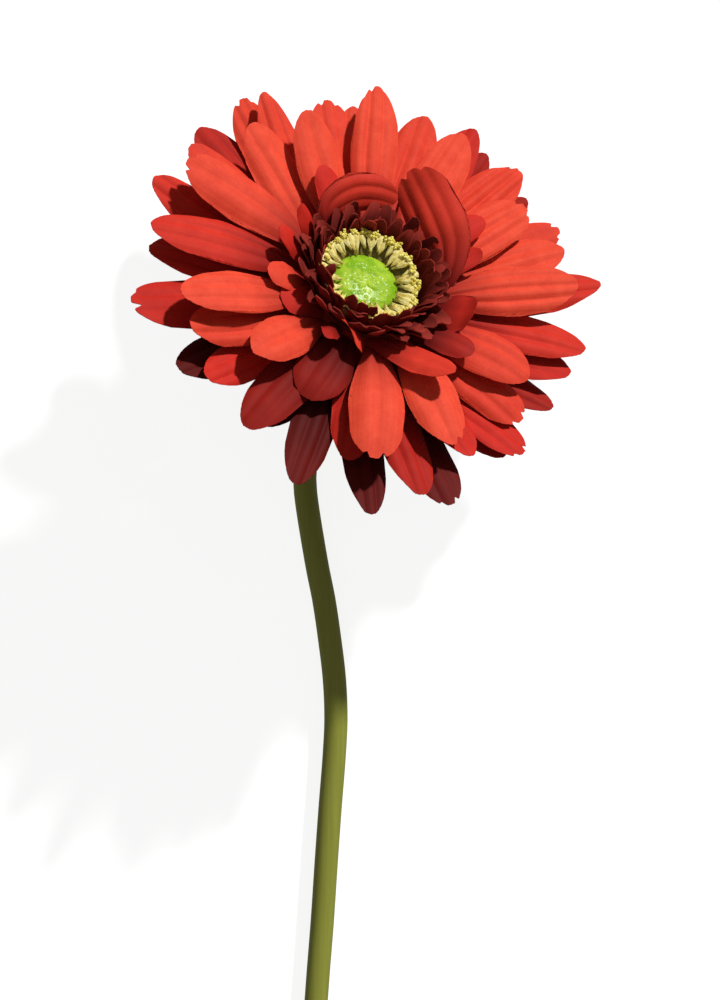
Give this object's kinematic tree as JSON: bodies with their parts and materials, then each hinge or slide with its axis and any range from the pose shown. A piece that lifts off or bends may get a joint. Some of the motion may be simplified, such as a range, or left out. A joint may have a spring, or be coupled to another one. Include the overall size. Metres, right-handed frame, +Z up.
{
  "type": "artificial gerbera flower",
  "caption": "Artificial gerbera daisy with woven fabric petals in rows round a moulded disc, on a bent plastic-coated wire stem, lying flat",
  "frame": {"origin": "middle of the bounding box in X and Y, on the surface that the flower lies on", "axes": "+Z up from the surface; +Y along the stem towards the flower head; +X to the right seen from above with the head at the far end"},
  "size_m": [0.1166, 0.3872, 0.068],
  "materials": {
    "petal_cloth": "woven polyester, dyed red, with pressed pleats",
    "floret_cloth": "woven polyester, dyed dark burgundy",
    "anther_plastic": "moulded soft plastic, cream with yellow beads",
    "disc_plastic": "moulded soft plastic, glossy beads",
    "cup_plastic": "moulded plastic, matt green",
    "stem_plastic": "extruded plastic sleeve, satin green",
    "wire_steel": "drawn steel wire, cut end"
  },
  "bodies": {
    "root": {"anther_ring": "anther_plastic", "core": "cup_plastic", "cup": "cup_plastic", "curled_petal_1": "petal_cloth", "curled_petal_2": "petal_cloth", "green_disc": "disc_plastic", "inner_florets": "floret_cloth", "outer_florets": "floret_cloth", "petal_1_01": "petal_cloth", "petal_1_02": "petal_cloth", "petal_1_03": "petal_cloth", "petal_1_04": "petal_cloth", "petal_1_05": "petal_cloth", "petal_1_06": "petal_cloth", "petal_1_07": "petal_cloth", "petal_1_08": "petal_cloth", "petal_1_09": "petal_cloth", "petal_1_10": "petal_cloth", "petal_1_11": "petal_cloth", "petal_1_12": "petal_cloth", "petal_1_13": "petal_cloth", "petal_2_01": "petal_cloth", "petal_2_02": "petal_cloth", "petal_2_03": "petal_cloth", "petal_2_04": "petal_cloth", "petal_2_05": "petal_cloth", "petal_2_06": "petal_cloth", "petal_2_07": "petal_cloth", "petal_2_08": "petal_cloth", "petal_2_09": "petal_cloth", "petal_2_10": "petal_cloth", "petal_2_11": "petal_cloth", "petal_2_12": "petal_cloth", "petal_2_13": "petal_cloth", "petal_3_01": "petal_cloth", "petal_3_02": "petal_cloth", "petal_3_03": "petal_cloth", "petal_3_04": "petal_cloth", "petal_3_05": "petal_cloth", "petal_3_06": "petal_cloth", "petal_3_07": "petal_cloth", "petal_3_08": "petal_cloth", "petal_3_09": "petal_cloth", "petal_3_10": "petal_cloth", "petal_3_11": "petal_cloth", "petal_3_12": "petal_cloth", "petal_4_01": "petal_cloth", "petal_4_02": "petal_cloth", "petal_4_03": "petal_cloth", "petal_4_04": "petal_cloth", "petal_4_05": "petal_cloth", "petal_4_06": "petal_cloth", "petal_4_07": "petal_cloth", "petal_4_08": "petal_cloth", "petal_4_09": "petal_cloth", "petal_4_10": "petal_cloth", "small_petals": "petal_cloth", "stem": "stem_plastic", "stem_wire": "wire_steel"}
  },
  "joints": []
}
